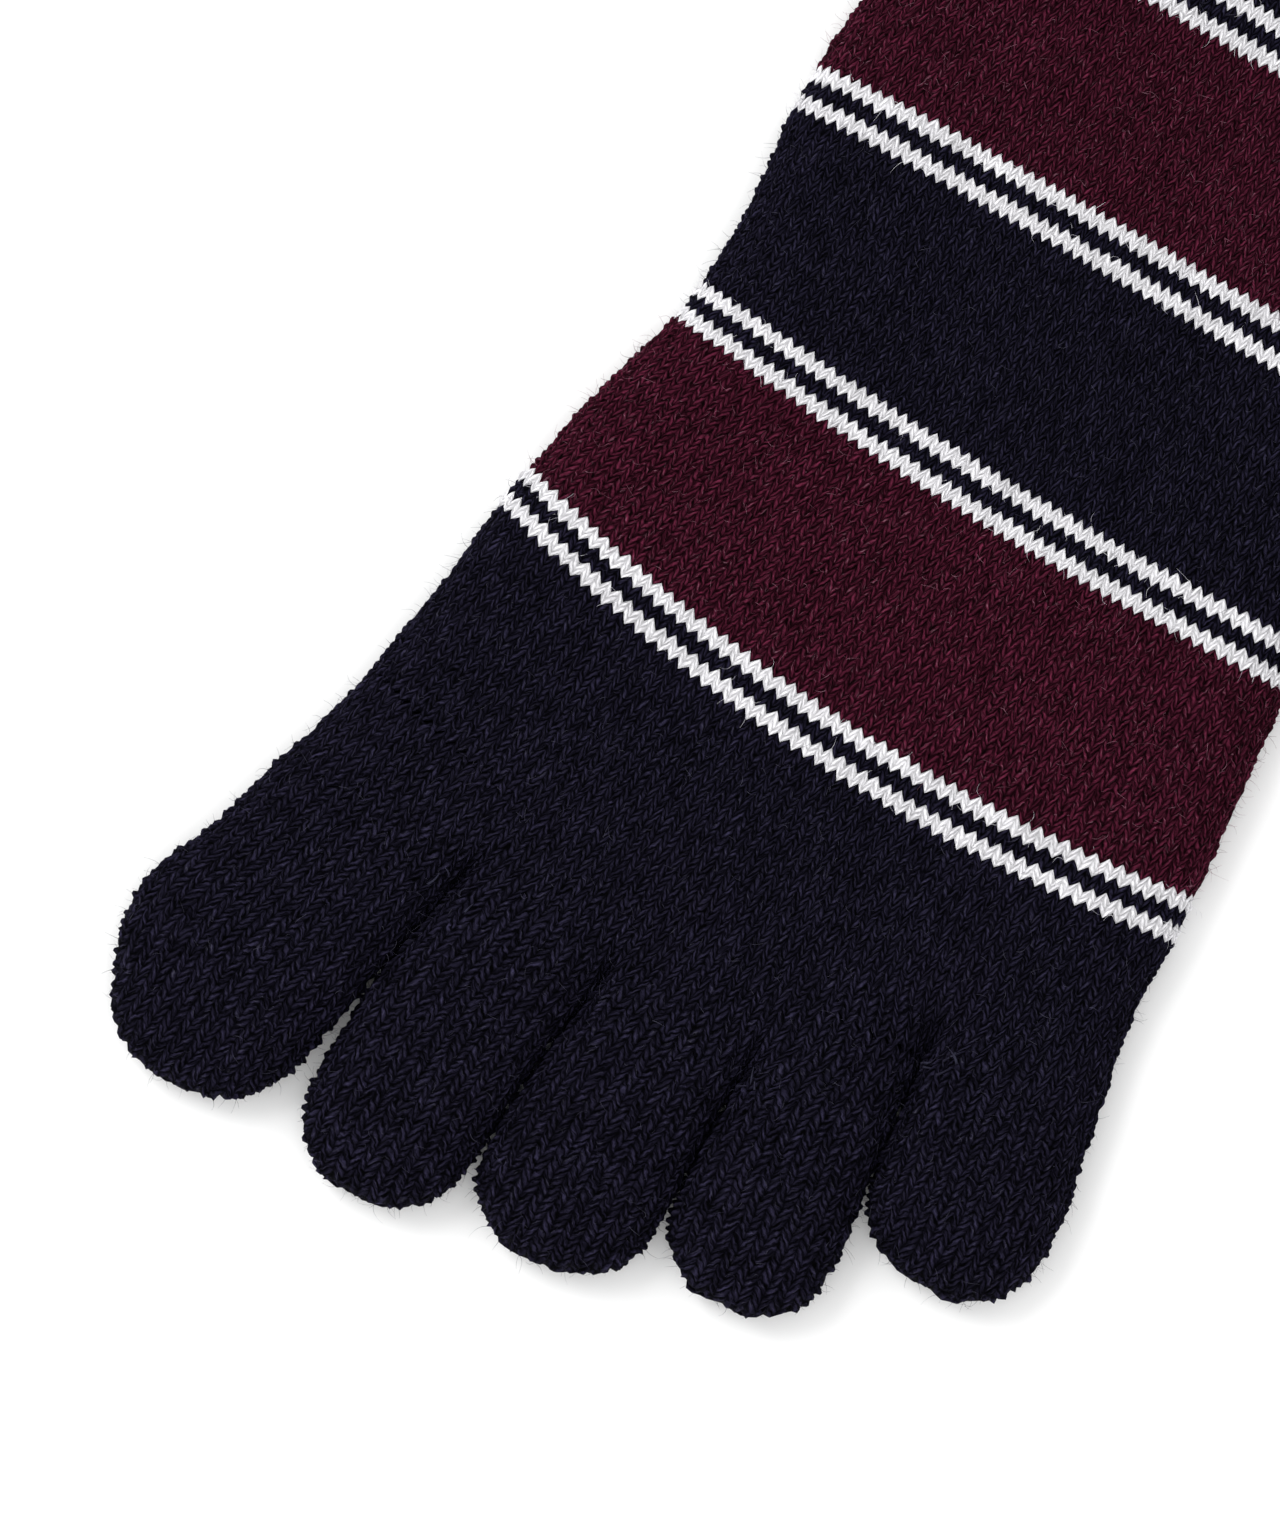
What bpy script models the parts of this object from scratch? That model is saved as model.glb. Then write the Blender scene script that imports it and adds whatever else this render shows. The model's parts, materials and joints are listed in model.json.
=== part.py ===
"""A striped wool toe sock for the left foot, lying flat with its instep up.

The sock is one knitted tube with five separate toes. It is modelled in
metres, with +Y from the toes to the cuff and +Z up, and its flat underside
rests on z = 0. The origin is under the middle of its box.

Each run of yarn along the tube, and each toe, is a piece of its own: a thin
knitted wall round the hollow where the foot goes in.
"""
import math

import bpy
import numpy as np

COLLECTION_NAME = "toe_sock"

# The knit, and how it lies.
KNIT_THICKNESS = 0.0014
SEAM_GAP = 0.0003
FOLD_HEIGHT = 0.0030
FOLD_REACH = 0.0032
FOLD_REACH_SHARE = 0.3

# The tube of the foot and leg, laid flat.
FOOT_WIDTH = 0.0820
FOOT_HEIGHT = 0.0088
FOOT_CROWN_REACH = 0.0120

# The toes and the crotches between them.
TOE_HEIGHT = 0.0080
TOE_CROWN_REACH = 0.0090
TOE_SLIT = 0.0006
CROTCH_FADE = 0.0100
NOSE_DEPTH = 6.0
NOSE_CAP_TURN = math.radians(73.7)
BULGE_PLACE = 0.50
BULGE_SPREAD = 0.36

# Lengths of the runs of yarn, from the roots of the toes to the cuff.
FRONT_LENGTH = 0.0127
FOREFOOT_LENGTH = 0.02445
WHITE_LINE_LENGTH = 0.00185
NAVY_LINE_LENGTH = 0.00215
FIRST_BURGUNDY_LENGTH = 0.0285
NAVY_BAND_LENGTH = 0.0271
SECOND_BURGUNDY_LENGTH = 0.0246
HEEL_LENGTH = 0.06375
LEG_LENGTH = 0.0540
CUFF_LENGTH = 0.0350

# Where the toes meet across the forefoot, as shares of its width from the big toe's fold.
CROTCHES = (0.242, 0.431, 0.614, 0.785)
BOW_CENTRE = 0.62

# Sections of the tube. Along is a share of the tube's length; the other columns are
# shares of the foot's width, and of its height: how far the left and right folds lie
# from the foot's axis, how high the top is, and how far a course runs towards the
# cuff at each fold, ahead of its middle.
SECTIONS = np.array([
    # along, left, right, height, left_lead, right_lead
    (0.0000, 0.704, 0.656, 0.94, 0.096, 0.037),
    (0.0563, 0.640, 0.612, 1.00, 0.101, 0.039),
    (0.1040, 0.6085, 0.581, 1.00, 0.104, 0.039),
    (0.1584, 0.584, 0.573, 1.00, 0.090, 0.034),
    (0.2130, 0.546, 0.551, 1.00, 0.058, 0.020),
    (0.2606, 0.499, 0.534, 1.00, 0.034, 0.010),
    (0.3015, 0.489, 0.520, 1.00, 0.012, 0.008),
    (0.3492, 0.504, 0.503, 1.00, -0.010, 0.009),
    (0.4037, 0.499, 0.490, 1.00, -0.014, 0.008),
    (0.4650, 0.495, 0.483, 1.02, -0.018, 0.006),
    (0.5673, 0.506, 0.494, 1.10, 0.000, 0.000),
    (0.6422, 0.537, 0.524, 1.16, 0.000, 0.000),
    (0.7036, 0.524, 0.512, 1.10, 0.000, 0.000),
    (0.7717, 0.494, 0.482, 1.00, 0.000, 0.000),
    (0.8807, 0.482, 0.476, 0.96, 0.000, 0.000),
    (0.9100, 0.470, 0.463, 0.96, 0.000, 0.000),
    (1.0000, 0.470, 0.463, 0.96, 0.000, 0.000),
])
ALONG, LEFT, RIGHT, HEIGHT, LEFT_LEAD, RIGHT_LEAD = range(6)

# The toes. Each leans from its root by the first angle and ends at the second, in
# degrees towards the big toe's side; nose is the rounded share of its length, and blunt
# the power that rounds it. Bulge is how far the left fold stands out, as a share of the
# width.
BIG_TOE_LENGTH, BIG_TOE_WIDTH = 0.0396, 0.0270
SECOND_TOE_LENGTH, SECOND_TOE_WIDTH = 0.0366, 0.0214
THIRD_TOE_LENGTH, THIRD_TOE_WIDTH = 0.0312, 0.0218
FOURTH_TOE_LENGTH, FOURTH_TOE_WIDTH = 0.0247, 0.0203
LITTLE_TOE_LENGTH, LITTLE_TOE_WIDTH = 0.0252, 0.0230
TOES = (
    # name, length, width, root_lean, tip_lean, nose, blunt, bulge
    ("big_toe", BIG_TOE_LENGTH, BIG_TOE_WIDTH, 15.5, 4.0, 0.42, 3.3, 0.06),
    ("second_toe", SECOND_TOE_LENGTH, SECOND_TOE_WIDTH, 12.0, -6.0, 0.36, 3.0, 0.0),
    ("third_toe", THIRD_TOE_LENGTH, THIRD_TOE_WIDTH, 5.2, -5.2, 0.39, 3.1, 0.0),
    ("fourth_toe", FOURTH_TOE_LENGTH, FOURTH_TOE_WIDTH, -5.6, -4.0, 0.53, 3.1, 0.0),
    ("little_toe", LITTLE_TOE_LENGTH, LITTLE_TOE_WIDTH, -12.2, 0.6, 0.59, 3.1, 0.0),
)

# Facets over the top of a tube and over a toe, or a hump no wider than the limit given
# as a share of the width, then round a fold; the widest facet underneath; and rows
# along a toe's straight length and round its nose.
TUBE_FACETS = 16
TOE_FACETS = 8
WIDE_HUMP = 0.5
FOLD_FACETS = 2
UNDER_FACET = 0.13
TOE_UNDER_FACETS = 2
TOE_ROWS = (4, 5)
AXIS_STEPS = 32
RIM_ANGLE = math.radians(60.0)

YARNS = {
    # colour, roughness
    "navy": ((0.0075, 0.0070, 0.0130), 0.95),
    "burgundy": ((0.0330, 0.0065, 0.0130), 0.95),
    "white": ((0.8200, 0.8100, 0.8400), 0.95),
}


def stripe(number):
    """The three runs of yarn of one narrow stripe: white, navy, white."""
    return [
        (f"white_line_{number}a", WHITE_LINE_LENGTH, "white", 1),
        (f"navy_line_{number}", NAVY_LINE_LENGTH, "navy", 1),
        (f"white_line_{number}b", WHITE_LINE_LENGTH, "white", 1),
    ]


# The runs of yarn of the tube in order: name, length, yarn and rows of facets.
RUNS = [
    ("forefoot_front", FRONT_LENGTH, "navy", 4),
    ("forefoot", FOREFOOT_LENGTH, "navy", 5),
    *stripe(1),
    ("burgundy_band_1", FIRST_BURGUNDY_LENGTH, "burgundy", 4),
    *stripe(2),
    ("navy_band", NAVY_BAND_LENGTH, "navy", 4),
    *stripe(3),
    ("burgundy_band_2", SECOND_BURGUNDY_LENGTH, "burgundy", 3),
    *stripe(4),
    ("heel", HEEL_LENGTH, "navy", 8),
    ("leg", LEG_LENGTH, "navy", 4),
    ("cuff", CUFF_LENGTH, "navy", 3),
]
TUBE_LENGTH = sum(length for _, length, _, _ in RUNS)


def column(name, along):
    """Smooth value of one column of SECTIONS: a cubic through the rows, whose slope at
    each row is the mean of the slopes beside it."""
    places, values = SECTIONS[:, ALONG], SECTIONS[:, name]
    slopes = np.gradient(values, places)
    along = np.clip(along, places[0], places[-1])
    row = np.clip(np.searchsorted(places, along, side="right") - 1, 0, len(places) - 2)
    step = places[row + 1] - places[row]
    t = (along - places[row]) / step
    start, end = values[row], values[row + 1]
    return (
        start * (2 * t ** 3 - 3 * t ** 2 + 1) + end * (3 * t ** 2 - 2 * t ** 3)
        + step * (slopes[row] * (t ** 3 - 2 * t ** 2 + t) + slopes[row + 1] * (t ** 3 - t ** 2))
    )


def smoothstep(value):
    """Ease from 0 to 1 with level ends."""
    value = np.clip(value, 0.0, 1.0)
    return value * value * (3.0 - 2.0 * value)


def plan(share, course):
    """Plan of the tube's top: the wale at a share of the width, 0 at the left fold and
    1 at the right, where it crosses the course that starts so far from the toe roots."""
    along = course / TUBE_LENGTH
    left_lead = column(LEFT_LEAD, along) * FOOT_WIDTH
    right_lead = column(RIGHT_LEAD, along) * FOOT_WIDTH
    before = np.clip((BOW_CENTRE - share) / BOW_CENTRE, 0.0, 1.0)
    after = np.clip((share - BOW_CENTRE) / (1.0 - BOW_CENTRE), 0.0, 1.0)
    y = course + left_lead * before ** 2 + right_lead * after ** 2
    left = -column(LEFT, y / TUBE_LENGTH) * FOOT_WIDTH
    right = column(RIGHT, y / TUBE_LENGTH) * FOOT_WIDTH
    return np.stack([left + (right - left) * share, y], axis=-1)


def crown(distance, reach):
    """Rise of the cloth from 0 at a fold to 1 where the top is level: a quarter of an
    ellipse as long as the reach."""
    near = 1.0 - np.clip(distance / reach, 0.0, 1.0)
    return np.sqrt(1.0 - near * near)


def unit(vector):
    """The vector's direction."""
    return vector / np.linalg.norm(vector)


def fold_reach(width):
    """How far a fold's rounded underside reaches in, on a section of this width."""
    return min(FOLD_REACH, FOLD_REACH_SHARE * width)


def section(top, top_height, under, lift=1.0):
    """Closed section of a flattened tube: over the given top points, round the right
    fold, back along the under points and round the left fold. Lift below 1 draws the
    underside up to the height of the folds."""
    left, right = top[0], top[-1]
    turn = np.arange(1, FOLD_FACETS + 1) / FOLD_FACETS * math.pi / 2
    inset = fold_reach(np.linalg.norm(right - left)) * (1.0 - np.cos(turn))
    drop = FOLD_HEIGHT * lift * np.sin(turn)
    from_right = right + inset[:, None] * unit(under[0] - right)
    from_left = left + inset[:, None] * unit(under[-1] - left)
    plans = [top, from_right, under, from_left[::-1]]
    flat = np.full(len(under), FOLD_HEIGHT * (1.0 - lift))
    heights = [top_height, FOLD_HEIGHT - drop, flat, (FOLD_HEIGHT - drop)[::-1]]
    return np.column_stack([np.concatenate(plans), np.concatenate(heights)])


def inner_section(outer, along):
    """The section inside an outer one: each point moves in by the knit's thickness,
    square to the section's line and to the plan direction that the tube runs in."""
    tangent = np.roll(outer, -1, axis=0) - np.roll(outer, 1, axis=0)
    inward = np.cross(np.append(along, 0.0), tangent)
    return outer + inward / np.linalg.norm(inward, axis=1, keepdims=True) * KNIT_THICKNESS


def top_shares(borders):
    """Shares of the width at a section's top points, closer together at each border."""
    parts = []
    for first, last in zip(borders[:-1], borders[1:]):
        facets = TUBE_FACETS if last - first > WIDE_HUMP else TOE_FACETS
        turn = np.arange(facets) / facets * math.pi
        parts.append(first + (last - first) * (1.0 - np.cos(turn)) / 2.0)
    return np.append(np.concatenate(parts), borders[-1])


def under_shares(borders):
    """Shares of the width at a section's under points, from right to left."""
    parts = []
    for first, last in zip(borders[:-1], borders[1:]):
        facets = math.ceil((last - first) / UNDER_FACET)
        parts.append(np.linspace(first, last, facets, endpoint=False))
    return np.concatenate(parts)[:0:-1]


def tube_fill(course):
    """How far the tube has left the form of the toes, from 0 at their roots to 1."""
    return smoothstep(course / CROTCH_FADE)


def tube_level(course):
    """Height of the tube where its top is level."""
    foot = FOOT_HEIGHT * column(HEIGHT, course / TUBE_LENGTH)
    return TOE_HEIGHT + (foot - TOE_HEIGHT) * tube_fill(course)


def outer_reach(course):
    """Reach of the crown at the tube's outer folds."""
    return TOE_CROWN_REACH + (FOOT_CROWN_REACH - TOE_CROWN_REACH) * tube_fill(course)


def tube_top_height(shares, course, borders, first_course):
    """Heights of the top points of a tube section. Each inner border is a crotch, where
    the top dips to the folds' height. It starts at the run's first course and fills out
    over the crotches' fade; a run that starts past the toes' roots meets its crotch
    with the foot's own crown on the left."""
    top = plan(shares, course)

    def rise(fold, reach):
        return crown(np.linalg.norm(top - plan(fold, course), axis=-1), reach)

    high = np.minimum(rise(borders[0], outer_reach(course)), rise(borders[-1], outer_reach(course)))
    fade = smoothstep((course - first_course) / CROTCH_FADE)
    for border in borders[1:-1]:
        reach = np.where(shares < border, outer_reach(first_course), TOE_CROWN_REACH)
        dip = rise(border, reach)
        high = np.minimum(high, dip + (1.0 - dip) * fade)
    return FOLD_HEIGHT + (tube_level(course) - FOLD_HEIGHT) * high


def tube_wall(first_course, last_course, rows, borders):
    """Outer and inner sections of one run of yarn, from its toe side to its cuff side."""
    shares, back = top_shares(borders), under_shares(borders)
    outer, inner = [], []
    for course in np.linspace(first_course, last_course, rows + 1):
        heights = tube_top_height(shares, course, borders, first_course)
        outer.append(section(plan(shares, course), heights, plan(back, course)))
        inner.append(inner_section(outer[-1], (0.0, 1.0)))
    return np.array(outer), np.array(inner)


def toe_frame(toe, root, station):
    """Centre of a toe's section at a share of its length, and the direction across it.
    The toe's axis bends evenly from its root's lean to its tip's."""
    _, length, _, root_lean, tip_lean, _, _, _ = toe
    steps = (np.arange(AXIS_STEPS) + 0.5) / AXIS_STEPS * station
    leans = np.radians(root_lean + (tip_lean - root_lean) * steps)
    move = -np.array([np.sin(leans).mean(), np.cos(leans).mean()]) * length * station
    lean = math.radians(root_lean + (tip_lean - root_lean) * station)
    return root + move, np.array([math.cos(lean), -math.sin(lean)])


def toe_wall(toe, first_share, last_share, root_course):
    """Outer and inner sections of one toe from near its tip to its root, then its outer
    and inner tips. Each section lies across the toe's axis, and near the root it turns
    to follow the course that the toe starts from."""
    _, _, width, _, _, nose, blunt, bulge = toe
    half_slit = np.array([TOE_SLIT / 2, 0.0])
    share = (1.0 - np.cos(np.linspace(0.0, math.pi, TOE_FACETS + 1))) / 2.0
    start = plan(first_share + (last_share - first_share) * share, root_course)
    root_left = start[0] + (half_slit if first_share > 0.0 else 0.0)
    root_right = start[-1] - (half_slit if last_share < 1.0 else 0.0)
    root = (root_left + root_right) / 2
    root_width = np.linalg.norm(root_right - root_left)
    root_across = toe_frame(toe, root, 0.0)[1]
    left_miss = root_left - (root - root_across * root_width / 2)
    right_miss = root_right - (root + root_across * root_width / 2)
    bow = start - (start[0] + (start[-1] - start[0]) * share[:, None])
    root_rise = tube_level(root_course) - FOLD_HEIGHT
    left_reach = TOE_CROWN_REACH if first_share > 0.0 else outer_reach(root_course)
    right_reach = TOE_CROWN_REACH if last_share < 1.0 else outer_reach(root_course)
    straight_rows, nose_rows = TOE_ROWS
    body = np.linspace(0.0, 1.0 - nose, straight_rows, endpoint=False)
    turn = np.linspace(0.0, NOSE_CAP_TURN, nose_rows)
    outer, inner = [], []
    for station in np.append(body, 1.0 - nose + nose * np.sin(turn)):
        centre, across = toe_frame(toe, root, station)
        grown = smoothstep(station / (1.0 - nose))
        into_nose = max(0.0, (station - (1.0 - nose)) / nose)
        half = (root_width + (width - root_width) * grown) / 2
        half *= math.sqrt(1.0 - into_nose ** blunt)
        bump = (1.0 + math.cos(math.pi * min(abs(station - BULGE_PLACE) / BULGE_SPREAD, 1.0))) / 2
        left = centre - across * (half + bulge * width * bump) + left_miss * (1.0 - grown)
        right = centre + across * half + right_miss * (1.0 - grown)
        top = left + (right - left) * share[:, None] + bow * (1.0 - grown)
        across_here = np.linalg.norm(right - left)
        from_left = crown(share * across_here, left_reach + (TOE_CROWN_REACH - left_reach) * grown)
        from_right = crown((1.0 - share) * across_here, right_reach + (TOE_CROWN_REACH - right_reach) * grown)
        lift = math.sqrt(1.0 - into_nose ** NOSE_DEPTH)
        rise = (root_rise + (TOE_HEIGHT - FOLD_HEIGHT - root_rise) * grown) * lift
        rise = rise * np.minimum(from_left, from_right)
        step = unit(right - left) * fold_reach(across_here)
        back = np.linspace(1.0, 0.0, TOE_UNDER_FACETS + 1)[1:-1]
        under = left + step + (right - left - 2 * step) * back[:, None]
        under_bow = np.column_stack([np.interp(back, share, bow[:, axis]) for axis in (0, 1)])
        under += under_bow * (1.0 - grown)
        outer.append(section(top, FOLD_HEIGHT + rise, under, lift))
        along = np.array([-across[1], across[0]]) * grown + np.array([0.0, 1.0]) * (1.0 - grown)
        inner.append(inner_section(outer[-1], along))
    tip, across = toe_frame(toe, root, 1.0)
    inner_tip = tip + np.array([-across[1], across[0]]) * KNIT_THICKNESS
    tips = [np.append(tip, FOLD_HEIGHT), np.append(inner_tip, FOLD_HEIGHT)]
    return np.array(outer)[::-1], np.array(inner)[-2::-1], tips


def yarn_material(name):
    """Plain material of one yarn."""
    color, roughness = YARNS[name]
    material = bpy.data.materials.new(f"{name}_yarn")
    material.diffuse_color = (*color, 1.0)
    material.use_nodes = True
    shader = material.node_tree.nodes["Principled BSDF"]
    shader.inputs["Base Color"].default_value = (*color, 1.0)
    shader.inputs["Roughness"].default_value = roughness
    shader.inputs["Metallic"].default_value = 0.0
    return material


def grid_faces(start, rows, around):
    """Faces between neighbouring sections of a closed grid, and its first and last rows."""
    index = start + np.arange(rows * around).reshape(rows, around)
    after = np.roll(index, -1, axis=1)
    faces = np.stack([index[:-1], after[:-1], after[1:], index[1:]], axis=-1).reshape(-1, 4)
    return faces.tolist(), index[0], index[-1]


def knit_wall(name, outer, inner, tips, material, collection):
    """One knitted piece: an outer and an inner surface lofted through their sections,
    joined at each open end by a rim and closed at the tip if it has one."""
    around = outer.shape[1]
    faces, outer_first, outer_last = grid_faces(0, len(outer), around)
    lining, inner_first, inner_last = grid_faces(outer.size // 3, len(inner), around)
    faces += [face[::-1] for face in lining]
    points = np.vstack([outer.reshape(-1, 3), inner.reshape(-1, 3), *[tip[None] for tip in tips]])
    after = np.roll(np.arange(around), -1)
    for here, there in enumerate(after):
        faces.append((outer_last[here], outer_last[there], inner_last[there], inner_last[here]))
        if tips:
            faces.append((len(points) - 2, outer_first[there], outer_first[here]))
            faces.append((len(points) - 1, inner_first[here], inner_first[there]))
        else:
            faces.append((outer_first[there], outer_first[here], inner_first[here], inner_first[there]))
    mesh = bpy.data.meshes.new(name)
    mesh.from_pydata(points.tolist(), [], [[int(corner) for corner in face] for face in faces])
    mesh.materials.append(material)
    mesh.shade_smooth()
    mesh.set_sharp_from_angle(angle=RIM_ANGLE)
    piece = bpy.data.objects.new(name, mesh)
    collection.objects.link(piece)
    return piece


def sock_walls():
    """Every piece's name, yarn, outer and inner sections and tips, in the foot's frame."""
    walls = []
    borders = (0.0, *CROTCHES, 1.0)
    for number, toe in enumerate(TOES):
        root = FRONT_LENGTH if toe[0] == "little_toe" else 0.0
        wall = toe_wall(toe, borders[number], borders[number + 1], root - SEAM_GAP)
        walls.append((toe[0], "navy", *wall))
    start = 0.0
    for name, length, yarn, rows in RUNS:
        run_borders = (0.0, 1.0)
        if name == "forefoot_front":
            run_borders = (*borders[:-2], CROTCHES[3] - TOE_SLIT / FOOT_WIDTH / 2)
        if name == "forefoot":
            run_borders = (0.0, CROTCHES[3], 1.0)
        wall = tube_wall(start, start + length - SEAM_GAP, rows, run_borders)
        walls.append((name, yarn, *wall, []))
        start += length
    return walls


def build():
    """Model the whole sock, with its origin under the middle of its box."""
    for leftover in list(bpy.data.objects):
        bpy.data.objects.remove(leftover, do_unlink=True)
    collection = bpy.data.collections.new(COLLECTION_NAME)
    bpy.context.scene.collection.children.link(collection)
    walls = sock_walls()
    points = np.vstack([outer.reshape(-1, 3) for _, _, outer, _, _ in walls])
    tips = np.array([tips[0] for _, _, _, _, tips in walls if tips])
    points = np.vstack([points, tips])
    middle = (points.min(axis=0) + points.max(axis=0)) / 2
    origin = np.array([middle[0], middle[1], 0.0])
    materials = {name: yarn_material(name) for name in YARNS}
    for name, yarn, outer, inner, tips in walls:
        moved_tips = [tip - origin for tip in tips]
        knit_wall(name, outer - origin, inner - origin, moved_tips, materials[yarn], collection)


build()
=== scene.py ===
"""Striped wool toe sock for the left foot, knitted stitch by stitch round its packed walls.

Every piece of the sock is a knit surface on a grid of wales and courses. Its rows run in
a zigzag along the legs of the stitches, so each stitch stands up as a real V.
"""
import json
import math

import bpy
import numpy as np
from bpy.props import FloatProperty, FloatVectorProperty, IntProperty, PointerProperty
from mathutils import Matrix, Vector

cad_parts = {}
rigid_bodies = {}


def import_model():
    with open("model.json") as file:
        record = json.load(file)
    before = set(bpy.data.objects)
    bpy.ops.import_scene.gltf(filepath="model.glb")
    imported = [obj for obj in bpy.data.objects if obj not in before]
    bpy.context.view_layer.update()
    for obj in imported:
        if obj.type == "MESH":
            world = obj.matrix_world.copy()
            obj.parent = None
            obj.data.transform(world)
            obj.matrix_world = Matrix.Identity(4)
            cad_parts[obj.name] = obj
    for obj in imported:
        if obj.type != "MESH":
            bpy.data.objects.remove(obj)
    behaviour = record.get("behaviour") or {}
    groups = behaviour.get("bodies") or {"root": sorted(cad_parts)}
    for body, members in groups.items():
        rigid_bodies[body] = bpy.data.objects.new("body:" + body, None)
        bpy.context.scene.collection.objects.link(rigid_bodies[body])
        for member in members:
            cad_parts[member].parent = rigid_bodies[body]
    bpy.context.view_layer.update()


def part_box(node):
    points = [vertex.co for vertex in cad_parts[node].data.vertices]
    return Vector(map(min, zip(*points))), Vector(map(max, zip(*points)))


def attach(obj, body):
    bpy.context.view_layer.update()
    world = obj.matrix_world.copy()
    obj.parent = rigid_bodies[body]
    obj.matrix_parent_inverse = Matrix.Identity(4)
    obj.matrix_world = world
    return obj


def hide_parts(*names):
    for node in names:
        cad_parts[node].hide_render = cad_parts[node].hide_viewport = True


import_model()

bl_info = {
    "name": "Knitted toe sock",
    "version": (1, 0, 0),
    "blender": (4, 5, 0),
    "location": "View3D > Sidebar > Toe sock",
    "description": "Knits a striped toe sock round its packed walls and sets its stage",
    "category": "Add Mesh",
}

UV_NAME = "stitches"

# The sock's form, in the foot's own frame: toes towards -Y, its resting face at z = 0.
SEAM_GAP = 0.0003
FOLD_HEIGHT = 0.0030
FOLD_REACH = 0.0032
FOLD_REACH_SHARE = 0.3
FOOT_WIDTH = 0.0820
FOOT_HEIGHT = 0.0088
FOOT_CROWN_REACH = 0.0120
TOE_HEIGHT = 0.0080
TOE_CROWN_REACH = 0.0070
TOE_SLIT = -0.0004
CROTCH_FADE = 0.0080
NOSE_DEPTH = 6.0
BULGE_PLACE = 0.56
BULGE_SPREAD = 0.30
AXIS_STEPS = 24

# Where the toes meet, as wales from the big toe's fold and as shares of the width.
WALE_BORDERS = np.array([0, 15, 26, 37, 47, 60])
SHARE_BORDERS = np.array([0.0, 0.242, 0.431, 0.614, 0.785, 1.0])
BOW_CENTRE = 0.62

# Sections of the tube, in shares of its length, of the foot's width and of its height.
SECTIONS = np.array([
    # along, left, right, height, left_lead, right_lead
    (0.0000, 0.704, 0.656, 0.94, 0.096, 0.037),
    (0.0563, 0.640, 0.612, 1.00, 0.101, 0.039),
    (0.1040, 0.6085, 0.581, 1.00, 0.104, 0.039),
    (0.1584, 0.584, 0.573, 1.00, 0.090, 0.034),
    (0.2130, 0.546, 0.551, 1.00, 0.058, 0.020),
    (0.2606, 0.499, 0.534, 1.00, 0.034, 0.010),
    (0.3015, 0.489, 0.520, 1.00, 0.012, 0.008),
    (0.3492, 0.504, 0.503, 1.00, -0.010, 0.009),
    (0.4037, 0.499, 0.490, 1.00, -0.014, 0.008),
    (0.4650, 0.495, 0.483, 1.02, -0.018, 0.006),
    (0.5673, 0.506, 0.494, 1.10, 0.000, 0.000),
    (0.6422, 0.537, 0.524, 1.16, 0.000, 0.000),
    (0.7036, 0.524, 0.512, 1.10, 0.000, 0.000),
    (0.7717, 0.494, 0.482, 1.00, 0.000, 0.000),
    (0.8807, 0.482, 0.476, 0.96, 0.000, 0.000),
    (0.9100, 0.470, 0.463, 0.96, 0.000, 0.000),
    (1.0000, 0.470, 0.463, 0.96, 0.000, 0.000),
])
ALONG, LEFT, RIGHT, HEIGHT, LEFT_LEAD, RIGHT_LEAD = range(6)

# The toes. Each leans from its root by the first angle and ends at the second, in
# degrees towards the big toe's side; nose is the rounded share of its length, and blunt
# the power that rounds it. Bulge is how far the left fold stands out, as a share of the
# width.
TOES = {
    # length, width, root_lean, tip_lean, nose, blunt, bulge, courses
    "big_toe": (0.0401, 0.0267, 15.5, 4.0, 0.43, 2.9, 0.07, 38),
    "second_toe": (0.0370, 0.0216, 12.0, -6.0, 0.36, 3.0, 0.0, 35),
    "third_toe": (0.0313, 0.0227, 5.2, -5.2, 0.39, 3.2, 0.0, 30),
    "fourth_toe": (0.0247, 0.0207, -5.6, -4.0, 0.50, 3.3, 0.0, 24),
    "little_toe": (0.0252, 0.0230, -12.2, 0.6, 0.55, 3.3, 0.0, 24),
}


def stripe(number):
    """The three runs of yarn of one narrow stripe."""
    return {
        f"white_line_{number}a": (0.00185, 2, "white"),
        f"navy_line_{number}": (0.00215, 2, "navy"),
        f"white_line_{number}b": (0.00185, 2, "white"),
    }


# The runs of yarn of the tube, in order from the roots of the toes.
RUNS = {
    # length, courses, yarn
    "forefoot_front": (0.0127, 12, "navy"),
    "forefoot": (0.02445, 24, "navy"),
    **stripe(1),
    "burgundy_band_1": (0.0285, 26, "burgundy"),
    **stripe(2),
    "navy_band": (0.0271, 26, "navy"),
    **stripe(3),
    "burgundy_band_2": (0.0246, 25, "burgundy"),
    **stripe(4),
    "heel": (0.06375, 60, "navy"),
    "leg": (0.0540, 51, "navy"),
    "cuff": (0.0350, 33, "navy"),
}
RUN_STARTS = dict(zip(RUNS, np.cumsum([0.0, *[run[0] for run in RUNS.values()]])))
TUBE_LENGTH = sum(run[0] for run in RUNS.values())
COURSES_BEFORE = dict(zip(RUNS, np.cumsum([0, *[run[1] for run in RUNS.values()]])))

# The stitch grid: columns a wale, rows a course, and wales round a fold.
WALE_COLUMNS = 4
COURSE_ROWS = 3
FOLD_WALES = 3
UNDER_LOSS = 6
TOE_UNDER_LOSS = 4
LINING_COURSES = 6
TIP_ROWS = np.array([0.0, 0.04, 0.12, 0.25, 0.45, 0.7])
TIP_FADE = 2.5
EDGE_FADE = 0.25
REST_SLOPE = 0.6
TUBE_ROUGHNESS = 0.45
TURNS = np.linspace(0.0, math.pi / 2, 65)

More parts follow.
